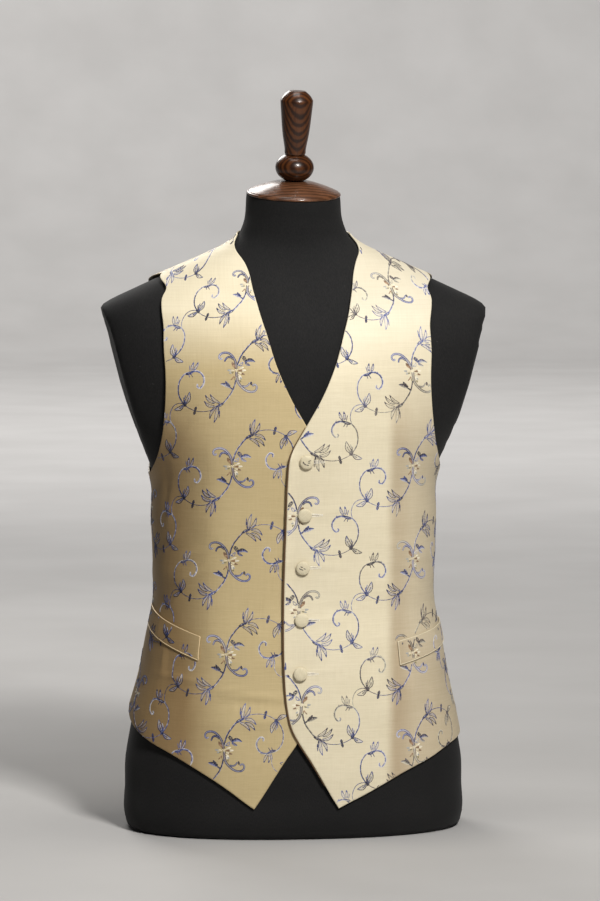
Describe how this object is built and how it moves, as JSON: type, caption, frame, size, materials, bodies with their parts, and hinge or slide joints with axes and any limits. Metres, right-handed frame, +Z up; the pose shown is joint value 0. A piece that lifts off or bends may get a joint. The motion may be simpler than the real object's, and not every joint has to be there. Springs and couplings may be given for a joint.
{
  "type": "embroidered waistcoat on a dress form",
  "caption": "Historic man's silk waistcoat with scrolling flower embroidery, covered buttons and welt pockets, worn by a limbless tailor's dress form with a wooden neck cap.",
  "frame": {"origin": "middle of the dress form's flat underside, on the surface that it stands on", "axes": "+Z up along the body, the front of the waistcoat faces -Y, +X towards the wearer's left, which is the viewer's right"},
  "size_m": [0.436, 0.2578, 0.8449],
  "materials": {
    "embroidered_silk": "pale gold dupion silk with blue, brown and white embroidery, soft sheen",
    "gold_satin": "plain gold cotton satin, soft sheen",
    "covered_button": "buttons covered in the same silk",
    "black_jersey": "matt black stretch jersey over a padded body",
    "walnut": "turned dark walnut, waxed"
  },
  "bodies": {
    "root": {"form_body": "black_jersey", "neck_cap": "walnut", "finial_ball": "walnut", "finial_handle": "walnut", "front_left": "embroidered_silk", "front_right": "embroidered_silk", "back_left": "gold_satin", "back_right": "gold_satin", "pocket_welt_left": "embroidered_silk", "pocket_welt_right": "embroidered_silk", "button_1": "covered_button", "button_2": "covered_button", "button_3": "covered_button", "button_4": "covered_button", "button_5": "covered_button"}
  },
  "joints": []
}
